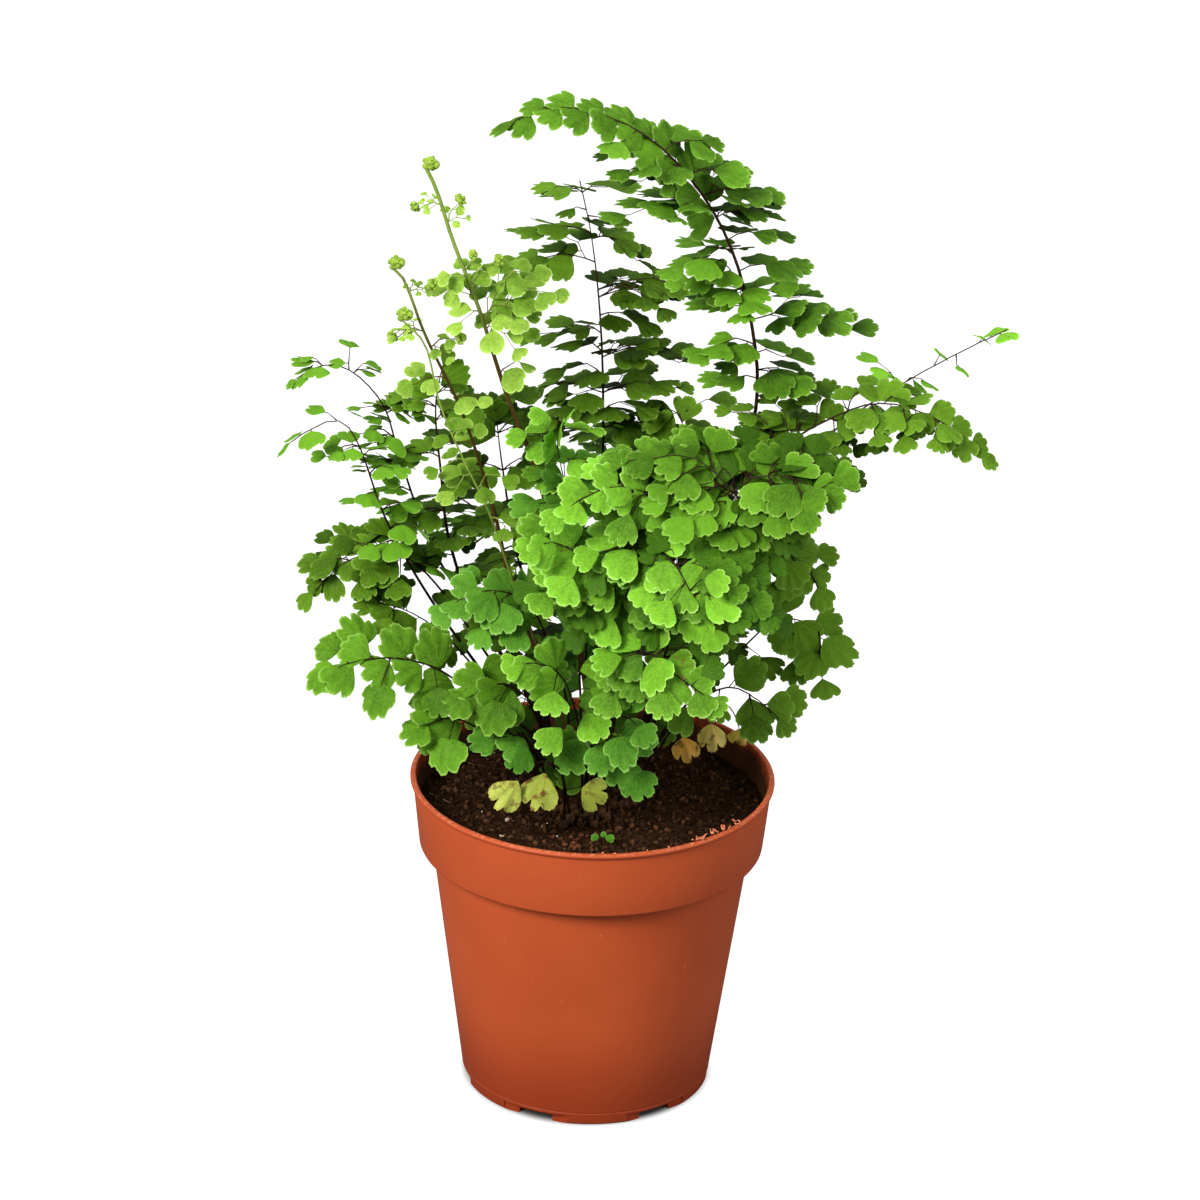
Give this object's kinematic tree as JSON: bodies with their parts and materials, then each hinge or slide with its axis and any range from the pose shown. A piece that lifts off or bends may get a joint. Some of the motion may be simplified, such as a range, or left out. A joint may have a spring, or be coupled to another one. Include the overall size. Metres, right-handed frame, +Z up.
{
  "type": "potted maidenhair fern",
  "caption": "Maidenhair fern with arching fronds of small fan-shaped leaflets on wiry stems, growing in soil in a round tapered plastic nursery pot with a deep collar.",
  "frame": {"origin": "centre of the pot's base, on the surface that it stands on", "axes": "+Z up along the pot's axis; +X to the right and -Y towards a person looking at the fuller front of the plant"},
  "size_m": [0.2348, 0.1674, 0.3438],
  "materials": {
    "pot_plastic": "terracotta-coloured injection-moulded plastic, satin",
    "potting_soil": "moist peat crumbs and fibres, matt",
    "rhizome_bark": "scaly dark brown rhizome, matt",
    "black_stem": "wiry, polished black-brown",
    "young_stem": "red-brown turning green towards the tip, satin",
    "dark_leaf": "waxy older leaf, satin",
    "green_leaf": "waxy leaf, satin",
    "fresh_leaf": "fresh leaf, satin",
    "young_leaf": "thin young leaf, satin",
    "dry_leaf": "yellowed and browned old leaf, matt"
  },
  "bodies": {
    "root": {"pot": "pot_plastic", "soil": "potting_soil", "rhizome": "rhizome_bark", "back_centre_leaves": "dark_leaf", "back_centre_stem": "black_stem", "back_left_frond": "dark_leaf", "back_low_left_frond": "green_leaf", "back_low_right_frond": "green_leaf", "back_right_frond": "green_leaf", "back_spire_leaves": "dark_leaf", "back_spire_stem": "black_stem", "bright_front_leaves": "fresh_leaf", "bright_front_stem": "black_stem", "centre_left_leaves": "green_leaf", "centre_left_stem": "black_stem", "centre_top_leaves": "fresh_leaf", "centre_top_stem": "black_stem", "dry_right_frond": "dry_leaf", "front_left_hanging_frond": "green_leaf", "front_left_low_leaves": "green_leaf", "front_left_low_stem": "black_stem", "heart_leaves_frond": "fresh_leaf", "inner_left_leaves": "dark_leaf", "inner_left_stem": "black_stem", "inner_right_leaves": "dark_leaf", "inner_right_stem": "black_stem", "left_mid_leaves": "dark_leaf", "left_mid_stem": "black_stem", "left_thin_leaves": "dark_leaf", "left_thin_stem": "black_stem", "left_under_frond": "dark_leaf", "low_centre_right_frond": "fresh_leaf", "low_front_frond": "green_leaf", "low_left_frond": "green_leaf", "low_mid_left_frond": "green_leaf", "mid_right_leaves": "fresh_leaf", "mid_right_stem": "black_stem", "right_front_top_leaves": "green_leaf", "right_front_top_stem": "black_stem", "right_low_frond": "dark_leaf", "right_lowest_frond": "dark_leaf", "right_under_leaves": "dark_leaf", "right_under_stem": "black_stem", "right_wide_leaves": "dark_leaf", "right_wide_stem": "black_stem", "right_wispy_leaves": "fresh_leaf", "right_wispy_stem": "black_stem", "tall_right_arch_leaves": "green_leaf", "tall_right_arch_stem": "black_stem", "wispy_lower_left_leaves": "green_leaf", "wispy_lower_left_stem": "black_stem", "wispy_upper_left_leaves": "green_leaf", "wispy_upper_left_stem": "black_stem", "yellowed_frond": "dry_leaf", "young_green_leaves": "young_leaf", "young_green_stem": "young_stem", "young_left_leaves": "young_leaf", "young_left_stem": "young_stem", "young_tall_leaves": "young_leaf", "young_tall_stem": "young_stem"}
  },
  "joints": []
}
